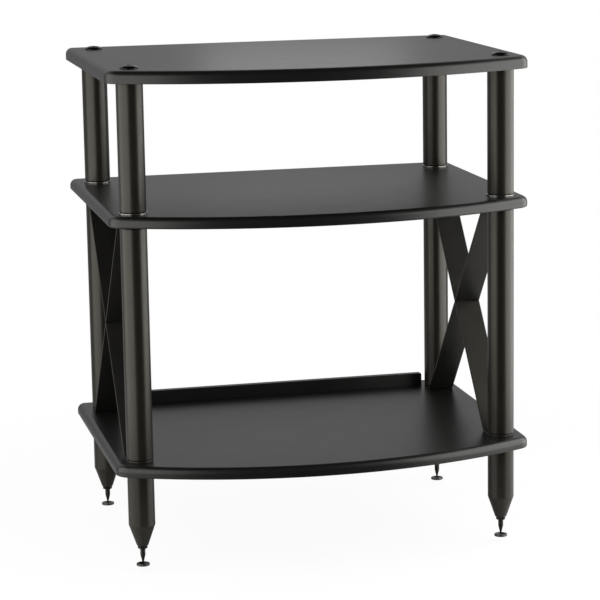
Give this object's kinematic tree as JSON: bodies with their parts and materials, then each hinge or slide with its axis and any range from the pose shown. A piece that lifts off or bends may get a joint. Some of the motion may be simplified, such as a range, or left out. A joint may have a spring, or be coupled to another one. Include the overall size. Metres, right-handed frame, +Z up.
{
  "type": "audio equipment rack",
  "caption": "Open black rack with bowed shelves on round pillars, crossed side braces, a low rear rail and cone feet on levelling spikes, for audio components.",
  "frame": {"origin": "on the floor, under the middle of the shelves' width and depth", "axes": "+Z up, -Y towards the bowed front, +X to the right as seen from the front"},
  "size_m": [0.64, 0.516, 0.7526],
  "materials": {
    "black_board": "black satin coating on fibreboard",
    "black_tube": "black satin metallic paint",
    "black_strip": "black satin powder coat",
    "polished_steel": "polished plating",
    "gloss_black": "glossy black plating",
    "black_steel": "blackened steel",
    "zinc_steel": "dull zinc plating"
  },
  "bodies": {
    "rack": {"bottom_shelf": "black_board", "middle_shelf": "black_board", "top_shelf": "black_board", "rear_rail": "black_board", "left_brace_rear_high": "black_strip", "left_brace_front_high": "black_strip", "right_brace_rear_high": "black_strip", "right_brace_front_high": "black_strip", "rail_screw_left": "zinc_steel", "rail_screw_middle": "zinc_steel", "rail_screw_right": "zinc_steel", "front_left_foot": "black_tube", "front_left_bottom_stud": "zinc_steel", "front_left_lower_pillar": "black_tube", "front_left_middle_stud": "zinc_steel", "front_left_washer": "polished_steel", "front_left_upper_pillar": "black_tube", "front_left_top_bolt": "gloss_black", "front_right_foot": "black_tube", "front_right_bottom_stud": "zinc_steel", "front_right_lower_pillar": "black_tube", "front_right_middle_stud": "zinc_steel", "front_right_washer": "polished_steel", "front_right_upper_pillar": "black_tube", "front_right_top_bolt": "gloss_black", "back_left_foot": "black_tube", "back_left_bottom_stud": "zinc_steel", "back_left_lower_pillar": "black_tube", "back_left_middle_stud": "zinc_steel", "back_left_washer": "polished_steel", "back_left_upper_pillar": "black_tube", "back_left_top_bolt": "gloss_black", "back_right_foot": "black_tube", "back_right_bottom_stud": "zinc_steel", "back_right_lower_pillar": "black_tube", "back_right_middle_stud": "zinc_steel", "back_right_washer": "polished_steel", "back_right_upper_pillar": "black_tube", "back_right_top_bolt": "gloss_black"},
    "front_left_disc": {"front_left_floor_disc": "black_steel"},
    "front_left_levelling_spike": {"front_left_spike": "black_steel"},
    "front_left_nut": {"front_left_lock_nut": "black_steel"},
    "front_right_disc": {"front_right_floor_disc": "black_steel"},
    "front_right_levelling_spike": {"front_right_spike": "black_steel"},
    "front_right_nut": {"front_right_lock_nut": "black_steel"},
    "back_left_disc": {"back_left_floor_disc": "black_steel"},
    "back_left_levelling_spike": {"back_left_spike": "black_steel"},
    "back_left_nut": {"back_left_lock_nut": "black_steel"},
    "back_right_disc": {"back_right_floor_disc": "black_steel"},
    "back_right_levelling_spike": {"back_right_spike": "black_steel"},
    "back_right_nut": {"back_right_lock_nut": "black_steel"}
  },
  "joints": [
    {"name": "front_left_height", "type": "slide", "parent": "rack", "child": "front_left_disc", "axis": [0, 0, -1], "range_m": [-0.008, 0.008]},
    {"name": "front_left_screw_turn", "type": "hinge", "parent": "front_left_disc", "child": "front_left_levelling_spike", "pos_m": [-0.2815, -0.153, 0.0175], "axis": [0, 0, -1], "range_deg": [-2304, 2304]},
    {"name": "front_left_nut_turn", "type": "hinge", "parent": "rack", "child": "front_left_nut", "pos_m": [-0.2815, -0.153, 0.029], "axis": [0, 0, -1], "range_deg": [0, 360]},
    {"name": "front_right_height", "type": "slide", "parent": "rack", "child": "front_right_disc", "axis": [0, 0, -1], "range_m": [-0.008, 0.008]},
    {"name": "front_right_screw_turn", "type": "hinge", "parent": "front_right_disc", "child": "front_right_levelling_spike", "pos_m": [0.2815, -0.153, 0.0175], "axis": [0, 0, -1], "range_deg": [-2304, 2304]},
    {"name": "front_right_nut_turn", "type": "hinge", "parent": "rack", "child": "front_right_nut", "pos_m": [0.2815, -0.153, 0.029], "axis": [0, 0, -1], "range_deg": [0, 360]},
    {"name": "back_left_height", "type": "slide", "parent": "rack", "child": "back_left_disc", "axis": [0, 0, -1], "range_m": [-0.008, 0.008]},
    {"name": "back_left_screw_turn", "type": "hinge", "parent": "back_left_disc", "child": "back_left_levelling_spike", "pos_m": [-0.2815, 0.201, 0.0175], "axis": [0, 0, -1], "range_deg": [-2304, 2304]},
    {"name": "back_left_nut_turn", "type": "hinge", "parent": "rack", "child": "back_left_nut", "pos_m": [-0.2815, 0.201, 0.029], "axis": [0, 0, -1], "range_deg": [0, 360]},
    {"name": "back_right_height", "type": "slide", "parent": "rack", "child": "back_right_disc", "axis": [0, 0, -1], "range_m": [-0.008, 0.008]},
    {"name": "back_right_screw_turn", "type": "hinge", "parent": "back_right_disc", "child": "back_right_levelling_spike", "pos_m": [0.2815, 0.201, 0.0175], "axis": [0, 0, -1], "range_deg": [-2304, 2304]},
    {"name": "back_right_nut_turn", "type": "hinge", "parent": "rack", "child": "back_right_nut", "pos_m": [0.2815, 0.201, 0.029], "axis": [0, 0, -1], "range_deg": [0, 360]}
  ],
  "couplings": [
    {"joint": "front_left_screw_turn", "follows": "front_left_height", "rad_per_m": 5026.5},
    {"joint": "front_right_screw_turn", "follows": "front_right_height", "rad_per_m": 5026.5},
    {"joint": "back_left_screw_turn", "follows": "back_left_height", "rad_per_m": 5026.5},
    {"joint": "back_right_screw_turn", "follows": "back_right_height", "rad_per_m": 5026.5}
  ]
}
